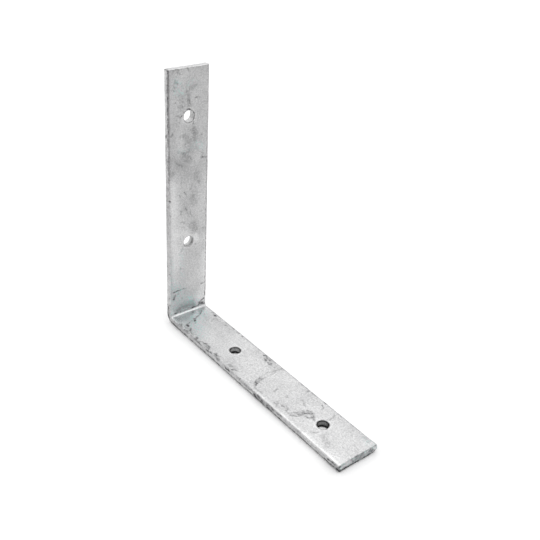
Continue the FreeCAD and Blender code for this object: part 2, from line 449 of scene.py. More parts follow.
foot_stains = [
    (0.45, 0.6, [(7.3, 8.6), (8.6, 6.6), (9.9, 4.8)]),
    (0.42, 0.56, [(9.9, 4.8), (11.4, 2.4), (12.5, 0.2), (13.3, -1.4), (15, -2.5)]),
    (0.6, 0.6, [(13, -1.9), (14.6, -2.4)]),
    (0.5, 0.5, [(16.4, -2.7), (17, -4.2)]),
    (0.35, 0.35, [(14, -4), (15, -7), (16.5, -9)]),
    (0.4, 0.3, [(9, 2.8), (9.5, 3.5)]),
    (0.7, 0.75, [(15.6, -8.6), (17.2, -8.9)]),
    (0.75, 0.95, [(16.8, 10.7), (17.2, 10.6)]),
    (0.35, 0.4, [(12.2, 6.2), (12.5, 6.1)]),
    (0.5, 0.3, [(13, 11.1), (14.6, 11)]),
    (0.4, 0.28, [(20.6, 4.9), (19.8, 6.6), (19.6, 8.6), (21.7, 9.5)]),
    (0.4, 0.22, [(23.3, 9.5), (25.4, 9.1)]),
    (0.6, 0.28, [(27.6, 9.2), (29.2, 9.6)]),
    (0.5, 0.45, [(32, 11.5), (34.3, 11.6)]),
    (0.4, 0.25, [(37.6, 10.6), (38.2, 11.3), (40, 11.2)]),
    (0.45, 0.35, [(42.8, 11.5), (43.4, 11.5)]),
    (0.45, 0.34, [(5, 12), (60, 12)]),
    (0.45, 0.3, [(60, 12), (149, 12)]),
    (0.45, 0.3, [(6.4, -12.5), (8.4, -12.3)]),
    (0.5, 0.36, [(12.8, -10.6), (14.2, -11.6), (14.7, -10.4)]),
    (0.4, 0.4, [(13.5, -12), (17, -11.9)]),
    (0.4, 0.34, [(16.4, -10.3), (18.4, -10.8), (19.6, -10.2)]),
    (0.4, 0.34, [(18.4, -12.2), (21, -11.8), (24, -12.2)]),
    (0.5, 0.5, [(20, -8.9), (21.4, -10.6)]),
    (0.5, 0.4, [(21.4, -10), (24.4, -11)]),
    (0.4, 0.34, [(25, -10.9), (27.2, -12)]),
    (0.4, 0.4, [(12, -12.8), (30, -12.9), (46, -12.8)]),
    (0.5, 0.95, [(28.8, -10.6), (30.2, -11.5), (31.6, -12.2)]),
    (0.5, 0.36, [(33.4, -11.8), (35.6, -10.7), (37.8, -10)]),
    (1.1, 0.26, [(37, -10.6), (40.3, -10.6), (42, -11.6)]),
    (0.45, 0.34, [(38.6, -9.7), (40.8, -10.2), (42.6, -11.8)]),
    (0.45, 0.3, [(44.6, -12), (45.4, -12.4)]),
    (1.0, 0.4, [(47.8, -11.2), (49.6, -11.4), (52.6, -12.3)]),
    (0.6, 0.28, [(47.6, -10.2), (49.2, -10.8), (51.2, -10)]),
    (0.7, 0.38, [(60.2, -10.6), (61.7, -10.6), (62.5, -9.6)]),
    (0.5, 0.5, [(63.9, -11.7), (65, -11.6)]),
    (0.65, 0.4, [(64.4, -11.4), (64.7, -10.6), (66.3, -10.2)]),
    (0.6, 0.32, [(72.6, -12.6), (73.3, -11.9)]),
    (0.5, 0.6, [(63.9, 10.6), (65.8, 11.4)]),
    (0.45, 0.45, [(66.1, 12), (67.4, 12.3)]),
    (0.6, 0.35, [(68.6, 12.2), (69.6, 10.6)]),
    (0.45, 0.55, [(66.4, 8.7), (68.7, 8.5), (72.4, 8.1)]),
    (0.4, 0.38, [(66.2, 11.2), (67.4, 10.2), (68.8, 10.8), (69.6, 9.8)]),
    (0.4, 0.3, [(67.6, 9.4), (69.6, 9.4)]),
    (0.45, 0.6, [(71.7, 9.7), (72.5, 9.5)]),
    (0.4, 0.3, [(75.5, 8.6), (76.2, 8.5)]),
    (1.8, 0.12, [(66, 10), (72, 9.5)]),
    (0.35, 0.18, [(63.7, -3.6), (65.6, -1.7), (67.2, 0), (67.3, 4)]),
    (0.5, 0.16, [(80, 12), (78.9, 10), (78.9, 8.6)]),
    (0.4, 0.28, [(79.2, 7.4), (79.8, 3), (79.5, -1), (80.2, -5), (81.2, -7.6)]),
    (0.45, 0.22, [(78.4, 8), (77.5, 3.2), (77.2, -1), (78.5, -4), (79.6, -7.2)]),
    (1.1, 0.2, [(78.9, -3), (79.7, -6), (81.1, -8.4)]),
    (0.45, 0.32, [(79.2, -6.8), (81, -7.2)]),
    (0.45, 0.32, [(80.2, -8.3), (82, -8.9)]),
    (0.6, 0.3, [(81.3, -8.4), (82.8, -10.2)]),
    (0.4, 0.18, [(82.8, -10.2), (86.6, -10.3)]),
    (0.45, 0.34, [(87.2, -10.3), (88.6, -10.1)]),
    (0.4, 0.3, [(78.2, -9.7), (78.5, -9.5)]),
    (0.55, 0.34, [(90.7, -1.1), (91, -2.8), (91.2, -4.2)]),
    (0.8, 0.34, [(98.1, -1), (98.8, -1.4)]),
    (0.5, 0.6, [(101.5, 11), (101.8, 9.8)]),
    (0.6, 0.28, [(98.6, 12), (104, 12.1)]),
    (0.7, 0.14, [(104.6, 4.6), (107, 3), (109.6, 1.8)]),
    (0.5, 0.14, [(102, 2), (105.5, 3.6)]),
    (0.6, 0.32, [(99, -7.6), (100.6, -8.4)]),
    (0.4, 0.22, [(98.2, -9.4), (101, -9.8)]),
    (0.5, 0.42, [(101.8, -7.6), (103.2, -7.7)]),
    (0.5, 0.34, [(103.8, -6.3), (105.6, -6.9), (106.5, -8)]),
    (0.45, 0.35, [(107.8, -4.5), (108.1, -4.3)]),
    (0.7, 0.3, [(109.4, -7.2), (109.9, -5.6), (111.8, -5)]),
    (0.6, 0.36, [(110.6, -8.3), (111.6, -7.4), (112.9, -6.7)]),
    (0.9, 0.26, [(113, -5.1), (113.3, -4), (112.8, -2.9), (111.6, -1.4)]),
    (0.55, 0.4, [(113.7, -2.1), (114.4, -0.9)]),
    (0.7, 0.28, [(112.6, 0.6), (113.9, 1.2), (115.1, 1.5), (116.4, 1)]),
    (0.5, 0.34, [(113.8, -0.4), (115.6, -0.2)]),
    (0.55, 0.5, [(116.5, -3), (116.9, -2.8)]),
    (0.7, 0.32, [(117.4, -1.5), (117.9, -0.2)]),
    (0.6, 0.28, [(118.4, -0.9), (120.4, -1.5)]),
    (0.5, 0.3, [(115.2, -3.1), (115.4, -3)]),
    (0.5, 0.2, [(106.2, -8.4), (109, -8.8), (111.4, -8.6)]),
    (2.2, 0.14, [(112, -3.4), (114, -1.6), (116.4, -0.4)]),
    (0.5, 0.22, [(109.1, 1.9), (107.3, 2.4)]),
    (0.45, 0.5, [(113.7, 9.3), (114.6, 9)]),
    (0.35, 0.4, [(115.4, 9.8), (116.2, 7)]),
    (0.5, 0.55, [(113.3, 11.6), (114, 11.5)]),
    (0.55, 0.26, [(123.4, 3.7), (124.2, 5.1), (124.2, 6.4), (124, 8), (123.4, 9.8)]),
    (0.45, 0.25, [(125.3, -8), (126.5, -7.4)]),
    (0.4, 0.3, [(126.3, -7.2), (127, -6.4)]),
    (0.4, 0.5, [(127.5, -5.6), (127.7, -5.4)]),
    (1.6, 0.12, [(131, -5), (137, -8)]),
    (1.2, 0.14, [(143.6, 10.4), (146.6, 10.2)]),
]

foot_side_stains_and_shade = [
    # The first row is painted shade: a dark line low along the side, where the foot meets the
    # floor.
    (0.5, 0.75, [(7.4, 1.2), (9, 0.8), (11, 0.6), (60, 0.4), (151, 0.4)]),
    (0.6, 0.6, [(8.4, 1.1), (10.8, 0.9)]),
    (0.4, 0.24, [(12, 3.5), (15, 3.2), (18.6, 3.5)]),
    (0.5, 0.25, [(19, 3.4), (26, 3.6), (31, 3.2), (35, 3.8)]),
    (0.4, 0.3, [(29.4, 3.9), (32, 3.4), (36, 3.4)]),
    (0.35, 0.4, [(39, 3.3), (46, 3.5)]),
    (1.2, 0.08, [(6, 2.4), (11, 2.4)]),
    (0.5, 0.95, [(59.8, 2.9), (62, 2.5), (63.8, 2.7)]),
    (0.5, 0.35, [(71, 3), (75, 2.7), (80.5, 2.7), (84, 3)]),
    (0.7, 0.5, [(85.4, 2.2), (86.7, 1.2), (88, 0.4)]),
    (0.6, 0.55, [(88.4, 3), (89.6, 2.6)]),
    (0.6, 0.5, [(91.8, 2), (93.6, 1.5)]),
    (0.5, 0.45, [(96.3, 2), (97.4, 0.9)]),
    (1.6, 0.22, [(86, 2), (100, 2.2)]),
    (0.6, 0.4, [(100, 3), (103, 2.9), (107.6, 3.1)]),
    (0.5, 0.14, [(108, 2.5), (143, 2.5)]),
    (0.45, 0.75, [(142.6, 2.7), (150, 2.8)]),
    (0.6, 0.35, [(140.5, 0.8), (148, 0.8)]),
    (0.5, 0.5, [(144.8, 0.5), (145.2, 1.4)]),
    (0.8, 0.9, [(148.8, 0.6), (150.4, 0.8)]),
]

upright_side_stains = [
    (0.3, 0.6, [(151, 3.4), (120, 3.4), (108, 3.4)]),
    (0.4, 0.3, [(108, 3.5), (90, 3.4)]),
    (0.7, 0.5, [(151, 3.2), (150.2, 1)]),
    (0.65, 0.55, [(115.2, 1.2), (115.8, 1.7)]),
    (0.5, 0.25, [(103, 2), (100, 3)]),
    (0.5, 0.2, [(99, 3.4), (97, 3)]),
    (1.0, 0.16, [(86, 2), (78, 2.4), (70, 2)]),
    (0.6, 0.35, [(38, 1.3), (37.2, 1.6)]),
    (0.4, 0.35, [(33.6, 3.4), (33.2, 3.6)]),
    (0.5, 0.45, [(16.8, 3.5), (16, 2.9)]),
    (0.6, 0.3, [(12.6, 3.4), (11, 3)]),
    (1.4, 0.25, [(9.5, 1.5), (7, 2)]),
    (0.7, 0.6, [(5.5, 1.2), (3, 1.6)]),
]

end_stains_and_shade = [
    # The first row is painted shade: a black line along the bottom edge, where the end meets the
    # floor.
    (0.65, 1.0, [(-12.6, 0.05), (12.6, 0.05)]),
    (1.4, 0.2, [(-3, 2), (3.4, 1.6)]),
    (0.3, 0.18, [(-9, 3.8), (12, 3.8)]),
    (0.6, 0.4, [(-12, 0.8), (-8, 0.6)]),
    (0.6, 0.7, [(-12.4, 3.2), (-11.3, 3.1)]),
    (0.5, 0.25, [(-10, 3.3), (-8.6, 2.9)]),
    (0.8, 0.08, [(-5, 3.4), (-3, 2)]),
    (0.7, 0.12, [(-7, 1), (-3.6, 0.9)]),
    (0.55, 0.3, [(-1.8, 3.7), (-0.4, 2.9)]),
    (0.5, 0.14, [(0.6, 3.3), (4, 3)]),
    (1.0, 0.25, [(6.4, 1.6), (7.4, 1)]),
    (0.8, 0.4, [(8, 2.6), (9.4, 1.8)]),
    (0.35, 0.16, [(10.2, 3.4), (11.6, 3.2)]),
    (0.45, 0.7, [(12.6, 3.2), (12.6, 1.8), (11.8, 0.9), (10.6, 0.5)]),
]

# Broad dull patches in the same form, and bright ones where the strength is below zero. Some bright
# ones are painted highlights: along the foot's near edge, in bands along the narrow sides, and by
# the bend, where the foot mirrors the darker upright.
upright_patches = [
    (4.0, -0.2, [(147, -5), (147, 6)]),
    (4.5, 0.5, [(118, 3), (114, 3.4), (110, 4)]),
    (4.5, 0.55, [(106, 0), (103, -2), (99, -4)]),
    (3.0, 0.4, [(121, -10), (106, -10), (94, -10)]),
    (4.5, 0.45, [(98, -4), (94, 0), (96, 8)]),
    (3.0, 0.3, [(91, 3), (78, 3), (64, 4)]),
    (4.5, 0.25, [(88, 7), (80, 5)]),
    (3.0, 0.35, [(90, -3), (72, -3)]),
    (3.0, 0.2, [(72, -2), (62, -1)]),
    (2.0, -0.5, [(57.4, -7), (57, -1)]),
    (1.4, -0.7, [(54.6, 4.6), (51, 5.4)]),
    (3.0, 0.3, [(58, 6), (56, 8)]),
    (3.0, -0.6, [(87, -10.5), (76, -10), (40, -9.5), (28, -9)]),
    (3.0, -0.25, [(90, 10.5), (76, 10.5)]),
    (3.0, -0.3, [(46, -6), (38, -6)]),
    (3.5, 0.4, [(45, 1), (42, 5)]),
    (2.8, -0.45, [(40, 10.5), (25, 10), (12, 9.5)]),
    (0.6, -0.6, [(52, 11.3), (9, 11.3)]),
    (4.0, -0.15, [(18, -9), (15, 0), (14, 7)]),
    (2.5, -0.8, [(12, 5), (8.6, 8.4)]),
    (2.6, 1.0, [(8.8, -6), (9.2, 2)]),
    (1.6, 0.7, [(9.6, -3), (9.4, 2.5)]),
    (1.8, 0.6, [(9.6, -10), (9.4, -8)]),
]
foot_patches = [
    # The bright rows by the bend are painted light, where the foot mirrors the darker upright.
    (4.0, -1.6, [(6.5, 3), (6.5, -9)]),
    (2.0, -1.6, [(7.4, 5.6), (9, 1)]),
    (2.0, 0.6, [(13.5, 5.6), (17, 5)]),
    (2.0, -1.8, [(8, -9.4), (14, -9.2)]),
    (0.8, -1.2, [(15, -11.2), (18.5, -11.5)]),
    (0.8, -1.0, [(22.5, -12), (27, -11.4)]),
    (4.5, -0.6, [(15, -3), (20, -6), (34, -9)]),
    (3.0, 0.5, [(14, 10), (27, 9.5), (36, 9)]),
    (4.0, 0.3, [(24, 5), (35, 1)]),
    (2.5, 0.25, [(60, 10), (92, 10), (115, 10), (138, 10)]),
    (2.5, -0.35, [(82.5, 9.5), (90, 9.5)]),
    (3.0, 0.4, [(57, -9), (64, -9)]),
    (3.0, 0.25, [(100, -8), (104, -8)]),
    # A painted highlight along the foot's near edge.
    (1.0, -1.6, [(84, -12.6), (104, -12.5), (150, -12.2)]),
    (2.5, -0.25, [(126, -10.4), (149, -10)]),
    (3.0, 0.25, [(143, 10), (149, 11)]),
    (4.0, 0.15, [(130, 0), (148, 1)]),
]
upright_side_patches = [
    (0.9, -1.0, [(150, 0.9), (112, 0.9)]),
    (1.5, 0.45, [(68, 2.2), (52, 2.2)]),
    (1.5, -0.4, [(28, 2), (12, 2)]),
]
end_patches = [
    (2.2, -0.55, [(-10.5, 2.2), (-6, 2)]),
    (1.8, 0.4, [(-3, 2), (2, 2)]),
    (1.8, 0.2, [(2, 2), (9, 2)]),
    (1.0, -1.5, [(10.8, 2), (11.5, 1.4)]),
]
foot_side_sheen = [
    (0.9, -0.9, [(22, 2.8), (56, 2.8)]),
    (0.9, -0.6, [(100, 2.8), (118, 2.8)]),
    (0.9, -1.2, [(124, 3.1), (150, 3.3)]),
    (0.8, -0.8, [(58, 1.8), (84, 1.8)]),
    (0.8, -0.4, [(103, 1.8), (142, 1.7)]),
]

# The faint film of green and rose that the hot steel left in the zinc, mostly round the bend.
upright_film = [
    (4.5, 0.24, [(6, -10), (6, 0), (6, 4)]),
    (6.0, 0.22, [(14, -9), (11, -2), (10, 2)]),
    (4.0, 0.32, [(24, -10), (20, -6)]),
    (1.5, 0.22, [(46, -5), (40, -5), (28, -4)]),
    (1.5, 0.2, [(42, -11), (24, -11)]),
    (1.5, 0.7, [(13, 0.6), (12.6, 1.4)]),
    (1.5, 0.7, [(9.8, 5.4), (9.4, 6.6)]),
    (1.8, 0.35, [(144, -8), (142, -6)]),
    (2.0, 0.2, [(142, 0.5), (142, 3)]),
    (2.0, 0.25, [(138.6, -8), (138, -4)]),
    (2.2, 0.28, [(109, 5), (107, 7.5)]),
    (1.6, 0.16, [(107, -6), (105.4, -2), (107, 1)]),
]
foot_film = [
    (4.0, 0.18, [(8, 6), (8, 0), (8, -9)]),
    (2.5, 0.26, [(7, 7), (9, 4)]),
    (2.5, 0.1, [(7, -9.5), (9, -10)]),
    (5.0, 0.4, [(14, -1), (19, -4)]),
    (3.5, 0.3, [(22, -5), (29, -7.5)]),
    (2.5, 0.3, [(11, 7), (13, 4)]),
    (2.5, 0.2, [(144, 10.5), (147, 10)]),
]


# The marks' outlines wander this far from a clean stroke, and stains and the painted shade in their
# tables have a sharper edge than the other marks.
STRAY = 0.2 * MM
STAIN_POWER = 3

stray_places = blank + STRAY * np.stack(
    [ripple(blank, 2 * MM, 6 * MM, seed) for seed in (11, 12, 13)], axis=1
)


def laid(marks, place, power=2):
    """Return what the marks on one face add up to at each point of the blank."""
    return sum(
        strength * near_path(stray_places, [place(*spot) for spot in path], width * MM, power)
        for width, strength, path in marks
    )


inner_share = np.clip(outward[:, 2], 0, 1)
outer_share = np.clip(-outward[:, 2], 0, 1)
near_side = np.clip(-outward[:, 1], 0, 1)
far_side = np.clip(outward[:, 1], 0, 1)
at_cut = (along < CUT_EDGE_RADIUS) | (along > bar_length - CUT_EDGE_RADIUS)
cut_end = np.abs(outward[:, 0]) * at_cut
of_foot = along < foot_run + bend_run / 2

# On the faces that are seen less, dirt lies in short strokes at random places, which run further
# along the bar than across it. Half the width is in mm, as above.
STROKE_COUNT = 90
STROKE_SPREAD = (3 * MM, 1.5 * MM, 0)
STROKE_WIDTHS = (0.4, 1.2)
STROKE_STRENGTHS = (0.12, 0.48)

hidden = np.maximum(outer_share, far_side) > 0.5
draw = np.random.default_rng(21)
strokes = []
for start in blank[draw.choice(np.flatnonzero(hidden), STROKE_COUNT)]:
    reach = draw.normal(size=3) * STROKE_SPREAD
    width = draw.uniform(*STROKE_WIDTHS)
    strength = draw.uniform(*STROKE_STRENGTHS)
    strokes.append((width, strength, [start, start + reach]))
scattered = sum(
    strength * near_path(stray_places, path, width * MM) for width, strength, path in strokes
)

# The narrow sides and the foot's cut end are a little dirty all over, and a line of painted shade
# follows the near side's outer edge round the bend.
SIDE_DIRT = 0.06
CUT_END_DIRT = 0.1
BEND_SHADE = 0.6
BEND_SHADE_WIDTH = 0.5 * MM

# Stains and dirt, with painted shade low on the foot's near side, its cut end and round the bend.
stain = laid(upright_stains, on_upright, STAIN_POWER)
stain += laid(foot_stains, on_foot, STAIN_POWER)
stain += laid(foot_side_stains_and_shade, on_foot_side, STAIN_POWER)
stain += laid(upright_side_stains, on_upright_side, STAIN_POWER)
stain += laid(end_stains_and_shade, on_end, STAIN_POWER)
stain += scattered * hidden
stain += SIDE_DIRT * (near_side + far_side) + CUT_END_DIRT * cut_end * of_foot
# Painted shade along the near side's outer edge round the bend.
bend_line = [on_foot_side(9.5, 0.8), on_upright_side(11.5, 0.8)]
stain += BEND_SHADE * near_path(stray_places, bend_line, BEND_SHADE_WIDTH)

# Round each hole the inner face has a dark rim of painted shade and outside it a ring of thick
# zinc, painted paler as a highlight, and the outer face has dirt. The upright's lower hole has its
# painted dark rim only below and on the near side.
# Each ring is given by its middle, outwards from the hole's wall, and half its width.
DARK_RIM = (0.08 * MM, 0.22 * MM)
THICK_ZINC = (0.9 * MM, 0.5 * MM)
OUTER_DIRT = (0.15 * MM, 0.4 * MM)
DARK_RIM_STRENGTH = 0.4
OUTER_DIRT_STRENGTH = 0.75
LOW_RIM_EDGE = (0.3, -0.7)

nearest_hole = np.asarray(hole_places)[np.argmin([np.abs(along - p) for p in hole_places], axis=0)]
end_hole = nearest_hole == hole_places[0]
lower_upright_hole = nearest_hole == hole_places[2]
from_hole = along - nearest_hole
hole_distance = np.hypot(from_hole, across)
beyond_wall = hole_distance - hole_radius
low_rim = share_between((from_hole + across) / hole_radius, *LOW_RIM_EDGE)
hole_rim = bell(beyond_wall, *DARK_RIM) * inner_share * np.where(lower_upright_hole, low_rim, 1)
zinc_ring = bell(beyond_wall, *THICK_ZINC) * inner_share
outer_rim = bell(beyond_wall, *OUTER_DIRT) * outer_share

# A hole's wall is rough, and it begins half way round the rim. In the foot it is painted black as
# shade under the rim, in its lower part and all round but for a paler patch on the side away from
# the front, and it is painted darker in the hole near the end. In the upright it is painted bright,
# as daylight that falls through would make it, but for a band of painted shade within the lower
# hole and painted shade on the side that shows only from behind.
# Depths are under the inner face. Directions are along and across the blank, and an edge is a
# share of the radius in that direction.
WALL_BLEND = 0.1 * MM
UNDER_RIM_SHADE = (0.25 * MM, 0.3 * MM)
UNDER_RIM_SHADE_STRENGTH = 0.75
LOW_WALL_SHADE = (2.3 * MM, 3.1 * MM)
AWAY_IN_FOOT = (0.762, 0.648)
PALE_PATCH_EDGE = (0.85, 0.45)
SIDE_WALL_SHADE_STRENGTH = 0.65
END_HOLE_SHADE = 0.22
SHADE_BAND = (1.1 * MM, 0.9 * MM)
SHADE_STRENGTH = 0.42
AWAY_IN_UPRIGHT = (-0.672, 0.741)
BACK_SHADE_EDGE = (-0.1, -0.5)
BACK_SHADE_STRENGTH = 0.55

wall_edge = HOLE_RIM_RADIUS / 2
hole_wall = share_between(beyond_wall, wall_edge, wall_edge - WALL_BLEND)
below_face = half_thickness - depth
on_wall = np.stack([from_hole, across], axis=1) / hole_radius
# Painted shade on the walls of the foot's holes.
foot_hole_shade = UNDER_RIM_SHADE_STRENGTH * bell(below_face, *UNDER_RIM_SHADE)
foot_hole_shade += share_between(below_face, *LOW_WALL_SHADE)
foot_hole_shade += SIDE_WALL_SHADE_STRENGTH * share_between(on_wall @ AWAY_IN_FOOT, *PALE_PATCH_EDGE)
foot_hole_shade += END_HOLE_SHADE * end_hole
# Painted shade in the upright's holes: a band in the lower hole, and the side seen from behind.
upright_hole_shade = SHADE_STRENGTH * bell(below_face, *SHADE_BAND) * lower_upright_hole
upright_hole_shade += BACK_SHADE_STRENGTH * share_between(on_wall @ AWAY_IN_UPRIGHT, *BACK_SHADE_EDGE)
bore = hole_wall * np.where(of_foot, np.clip(foot_hole_shade, 0, 1), upright_hole_shade)

# The dark rims are painted shade and the outer rims are dirt. Both join the stains.
rims = DARK_RIM_STRENGTH * hole_rim + OUTER_DIRT_STRENGTH * outer_rim * (1 - hole_wall)
stain = stain * (1 - hole_wall) + rims

# The zinc is painted brighter, as painted highlights, in the ring of thick zinc round the holes, on
# their walls and on the upright's cut end, which faces up to the canopy. The foot's cut end has a
# faint film. The walls of the foot's holes are the roughest.
RING_HIGHLIGHT = 0.4
WALL_HIGHLIGHT = 1.0
TOP_HIGHLIGHT = 0.6
CUT_END_FILM = 0.28
FOOT_WALL_ROUGHNESS = 1.7

# Painted highlights are among the bright patches.
patches = (laid(upright_patches, on_upright) + laid(foot_patches, on_foot)) * inner_share
patches += laid(upright_side_patches, on_upright_side) * near_side
patches += laid(foot_side_sheen, on_foot_side) * near_side
patches += laid(end_patches, on_end) * cut_end
# Painted highlights: the thick zinc ring, the holes' walls and the upright's cut end.
patches -= RING_HIGHLIGHT * zinc_ring + WALL_HIGHLIGHT * hole_wall + TOP_HIGHLIGHT * cut_end * ~of_foot

film = (laid(upright_film, on_upright) + laid(foot_film, on_foot)) * inner_share
film += CUT_END_FILM * cut_end * of_foot

attributes = {
    "stain": np.clip(stain, 0, 1),
    "dullness": patches,
    "film": film,
    # The bore attribute holds the painted shade inside the holes.
    "bore": bore,
    "wall": hole_wall * np.where(of_foot, FOOT_WALL_ROUGHNESS, 1.0),
}

# How far the zinc stands proud of the blank: in waves and in ripples all over, at stains and
# painted shade, on the rough cut ends, in the ring round each hole, and down the holes' walls.
WAVE_HEIGHT = 0.03 * MM
RIPPLE_HEIGHT = 0.005 * MM
STAIN_AND_SHADE_HEIGHT = 0.03 * MM
CUT_ROUGHNESS = 0.04 * MM
RING_HEIGHT = 0.02 * MM
FOOT_HOLE_COAT = 0.22 * MM
UPRIGHT_HOLE_COAT = 0.1 * MM

lift = WAVE_HEIGHT * ripple(blank, 9 * MM, 35 * MM, 1)
lift += RIPPLE_HEIGHT * ripple(blank, 2 * MM, 5 * MM, 2)
lift += STAIN_AND_SHADE_HEIGHT * attributes["stain"]
lift += CUT_ROUGHNESS * cut_end * ripple(blank, 1.5 * MM, 4 * MM, 3)
lift += RING_HEIGHT * zinc_ring
hole_coat = np.where(of_foot, FOOT_HOLE_COAT, UPRIGHT_HOLE_COAT)
lift += hole_coat * share_between(beyond_wall, HOLE_RIM_RADIUS, 0)
coated = blank + lift[:, None] * outward

# The shears left the foot's end a little longer below than above, and the top end a little longer
# in front and at its far side. The zinc is thick at the foot's far corner and rounds it off below.
# A reach is how far from the end or the corner the change is felt.
FOOT_SLANT = 0.45 * MM
FOOT_SLANT_REACH = 1.2 * MM
FOOT_SLANT_DEPTHS = (1.0 * MM, -1.4 * MM)
TOP_RISE = 0.5 * MM
TOP_SLANT = 0.15 * MM
TOP_HORN = 0.35 * MM
HORN_SHARPNESS = 4
TOP_REACH = 2.0 * MM
BULGE = 0.3 * MM
BULGE_HEIGHT = 2.4 * MM
BULGE_WIDTH = 1.2 * MM
ROUNDING = 0.8 * MM
ROUNDING_HEIGHT = 0.9 * MM
CORNER_REACH = 1.6 * MM

lower_share = share_between(depth, *FOOT_SLANT_DEPTHS)
coated[:, 0] -= FOOT_SLANT * lower_share * bell(along, 0, FOOT_SLANT_REACH)
rise = TOP_RISE + TOP_SLANT * depth / half_thickness
rise += TOP_HORN * np.clip(across / half_width, 0, 1) ** HORN_SHARPNESS
coated[:, 0] += rise * bell(along, bar_length, TOP_REACH)
height = depth + half_thickness
swelling = BULGE * bell(height, BULGE_HEIGHT, BULGE_WIDTH)
swelling -= ROUNDING * bell(height, 0, ROUNDING_HEIGHT)
swelling *= bell(np.hypot(along, across - half_width), 0, CORNER_REACH)
coated[:, :2] += swelling[:, None] * outward[:, :2]

SEAM_GAP = 0.0001 * MM

mesh = bpy.data.meshes.new("galvanised_bracket")
mesh.from_pydata(bent(coated), [], faces)
for name, values in attributes.items():
    layer = mesh.attributes.new(name, "FLOAT", "POINT")
    layer.data.foreach_set("value", values.astype(np.float32))
shape = bmesh.new()
shape.from_mesh(mesh)
bmesh.ops.remove_doubles(shape, verts=shape.verts, dist=SEAM_GAP)
bmesh.ops.recalc_face_normals(shape, faces=shape.faces)
shape.to_mesh(mesh)
shape.free()
mesh.polygons.foreach_set("use_smooth", np.ones(len(mesh.polygons), bool))
bracket = bpy.data.objects.new("galvanised_bracket", mesh)
bpy.context.scene.collection.objects.link(bracket)


def add_node(tree, kind, sockets=None, **settings):
    """Add a shader node with its settings, and set or link its input sockets."""
    made = tree.nodes.new("ShaderNode" + kind)
    for name, value in settings.items():
        setattr(made, name, value)
    for name, value in (sockets or {}).items():
        if isinstance(value, bpy.types.NodeSocket):
            tree.links.new(value, made.inputs[name])
        else:
            made.inputs[name].default_value = value
    return made


def sum_of(tree, start, *terms):
    """Return a start value plus each socket times its factor, a number or a socket."""
    total = start
    for socket, factor in terms:
        sockets = {0: socket, 1: factor, 2: total}
        total = add_node(tree, "Math", sockets, operation="MULTIPLY_ADD").outputs[0]
    return total


def product_of(tree, first, second):
    """Return the first socket times the second, held within 0 and 1."""
    sockets = {0: first, 1: second}
    return add_node(tree, "Math", sockets, operation="MULTIPLY", use_clamp=True).outputs[0]


def blend_of(tree, share, first, second):
    """Return the first colour turned into the second by a share that is held within 0 and 1."""
    mix = add_node(tree, "Mix", {0: share, 6: first, 7: second}, data_type="RGBA")
    return mix.outputs[2]


BRIGHT_ZINC = (0.92, 0.92, 0.92, 1)
DULL_ZINC = (0.46, 0.46, 0.465, 1)
GREEN_FILM = (0.5, 0.87, 0.81, 1)
ROSE_FILM = (0.95, 0.74, 0.85, 1)
DIRT_AND_SHADE = (0.1, 0.1, 0.105, 1)
HOLE_SHADE = (0.03, 0.03, 0.03, 1)
BUMP_HEIGHT = 0.06 * MM
BUMP_STRENGTH = 0.35

zinc = bpy.data.materials.new("galvanised_steel")
zinc.use_nodes = True
tree = zinc.node_tree
place = add_node(tree, "TexCoord").outputs["Object"]
stain, dullness, film, bore_shade_share, wall = (
    add_node(tree, "Attribute", attribute_name=name).outputs["Fac"]
    for name in ("stain", "dullness", "film", "bore", "wall")
)


def noise(scale, detail, roughness=0.5):
    """Return a noise about 0.5, with the scale in patches to the metre."""
    sockets = {"Vector": place, "Scale": scale, "Detail": detail, "Roughness": roughness}
    return add_node(tree, "TexNoise", sockets).outputs["Fac"]


broad = noise(110, 2)
mottle = noise(480, 3, 0.65)
grain = noise(1000, 2, 0.6)
speck = noise(2100, 1)
tint_grain = noise(1300, 1)

# The zinc is duller where it is marked so and where the noises are high, and brighter at the
# painted highlights. The film, and the stains with the painted shade, are broken up by a noise: the
# film is green where the tint grain is high and rose where it is low.
patina_and_sheen = sum_of(
    tree, -0.62, (dullness, 0.39), (broad, 0.33), (mottle, 0.36), (grain, 0.85), (speck, 0.95)
)
green_share = product_of(tree, film, sum_of(tree, -1.8, (tint_grain, 4.5)))
rose_share = product_of(tree, film, sum_of(tree, 2.05, (tint_grain, -3.5)))
stain_and_shade_share = product_of(tree, stain, sum_of(tree, -0.7, (grain, 2.4), (mottle, 1.6)))

colour = blend_of(tree, patina_and_sheen, BRIGHT_ZINC, DULL_ZINC)
colour = blend_of(tree, green_share, colour, GREEN_FILM)
colour = blend_of(tree, rose_share, colour, ROSE_FILM)
# Stains and dirt, and painted shade along the bottom edges and round the holes' rims, in one dark
# colour.
colour = blend_of(tree, stain_and_shade_share, colour, DIRT_AND_SHADE)
# Painted shade inside the holes.
colour = blend_of(tree, bore_shade_share, colour, HOLE_SHADE)
shader = tree.nodes["Principled BSDF"]
shader.inputs["Metallic"].default_value = 1.0
tree.links.new(colour, shader.inputs["Base Color"])
roughness = sum_of(
    tree, 0.26, (patina_and_sheen, 0.14), (stain_and_shade_share, 0.25), (grain, 0.08), (wall, 0.35), (film, 0.12)
)
tree.links.new(roughness, shader.inputs["Roughness"])
height = sum_of(tree, 0.0, (mottle, 1.0), (grain, 0.5))
bump = add_node(
    tree, "Bump", {"Strength": BUMP_STRENGTH, "Distance": BUMP_HEIGHT, "Height": height}
)
tree.links.new(bump.outputs["Normal"], shader.inputs["Normal"])
mesh.materials.append(zinc)

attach(bracket, "root")
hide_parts("angle_bracket")


# The floor
# A plain white sheet that shows only the bracket's soft shadow. The bracket stands a hair above it
# on the beads of its zinc, and mirrors the sheet as it is lit and the dark room beyond its front
# edge.

